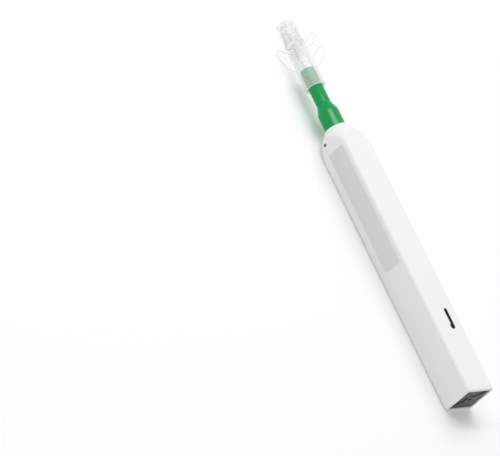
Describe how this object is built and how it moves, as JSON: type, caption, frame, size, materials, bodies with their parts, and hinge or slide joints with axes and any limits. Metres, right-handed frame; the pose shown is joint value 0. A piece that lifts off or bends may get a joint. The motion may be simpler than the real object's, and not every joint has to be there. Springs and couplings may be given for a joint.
{
  "type": "fibre connector cleaning pen",
  "caption": "Push-action pen that wipes a fibre connector's end face with a thread: square sleeve, sprung nozzle, reels, turning tip, guide cap and dust cap.",
  "frame": {"origin": "on the flat face that the pen rests on, at the middle of the sleeve's length and width", "axes": "pen axis along X at z = 9 mm, cleaning tip towards -X, rear end towards +X, label face towards -Y, slotted face up (+Z)"},
  "size_m": [0.2118, 0.0181, 0.018],
  "materials": {
    "white_plastic": "fine satin, white ABS",
    "dark_plastic": "matt dark grey",
    "label_film": "matt pale grey film",
    "natural_plastic": "unpainted acetal",
    "steel": "drawn bright steel",
    "green_plastic": "glossy green",
    "red_plastic": "dark red",
    "clean_fibre": "woven microfibre thread",
    "clear_plastic": "clear polypropylene"
  },
  "bodies": {
    "housing": {"housing_shell": "white_plastic", "end_plug": "dark_plastic", "label": "label_film", "drive_rack": "natural_plastic", "cam_bridge": "natural_plastic", "cam_pin": "steel", "return_spring": "steel"},
    "carriage": {"nozzle_shell": "green_plastic", "inner_frame": "natural_plastic", "take_up_axle": "steel", "supply_axle": "steel", "upper_guide_pin": "steel", "lower_guide_pin": "steel", "ratchet_pawl": "steel", "feed_thread": "clean_fibre", "return_thread": "clean_fibre", "tip_spring": "steel"},
    "take_up_reel": {"take_up_spool": "dark_plastic", "used_thread": "clean_fibre", "drive_pinion": "natural_plastic", "winding_wheel": "red_plastic", "ratchet_wheel": "natural_plastic"},
    "supply_reel": {"supply_spool": "dark_plastic", "clean_thread": "clean_fibre"},
    "tip": {"rotary_shaft": "white_plastic", "cleaning_head": "white_plastic", "tip_thread": "clean_fibre"},
    "guide_cap_body": {"guide_cap": "clear_plastic", "tether_loop_left": "clear_plastic", "tether_loop_front": "clear_plastic", "tether_loop_rear": "clear_plastic"},
    "dust_cap_body": {"dust_cap": "clear_plastic"}
  },
  "joints": [
    {"name": "push_slide", "type": "slide", "parent": "housing", "child": "carriage", "axis": [1, 0, 0], "range_m": [0, 0.009], "stiffness_N_per_m": 300, "springref_m": -0.006, "deforming": ["return_spring"]},
    {"name": "take_up_turn", "type": "hinge", "parent": "carriage", "child": "take_up_reel", "pos_m": [0.0365, 0, 0.009], "axis": [0, 1, 0], "range_deg": [-1, 110]},
    {"name": "supply_turn", "type": "hinge", "parent": "carriage", "child": "supply_reel", "pos_m": [0.0075, 0, 0.009], "axis": [0, 1, 0], "range_deg": [-1, 82]},
    {"name": "tip_turn", "type": "hinge", "parent": "carriage", "child": "tip", "pos_m": [-0.0425, 0, 0.009], "axis": [1, 0, 0], "range_deg": [-1, 184]},
    {"name": "guide_cap_pull", "type": "slide", "parent": "carriage", "child": "guide_cap_body", "axis": [-1, 0, 0], "range_m": [0, 0.025]},
    {"name": "dust_cap_pull", "type": "slide", "parent": "guide_cap_body", "child": "dust_cap_body", "axis": [-1, 0, 0], "range_m": [0, 0.02]}
  ],
  "couplings": [
    {"joint": "take_up_turn", "follows": "push_slide", "rad_per_m": 208.33},
    {"joint": "supply_turn", "follows": "push_slide", "rad_per_m": 152.96},
    {"joint": "tip_turn", "follows": "push_slide", "rad_per_m": 349.07}
  ]
}
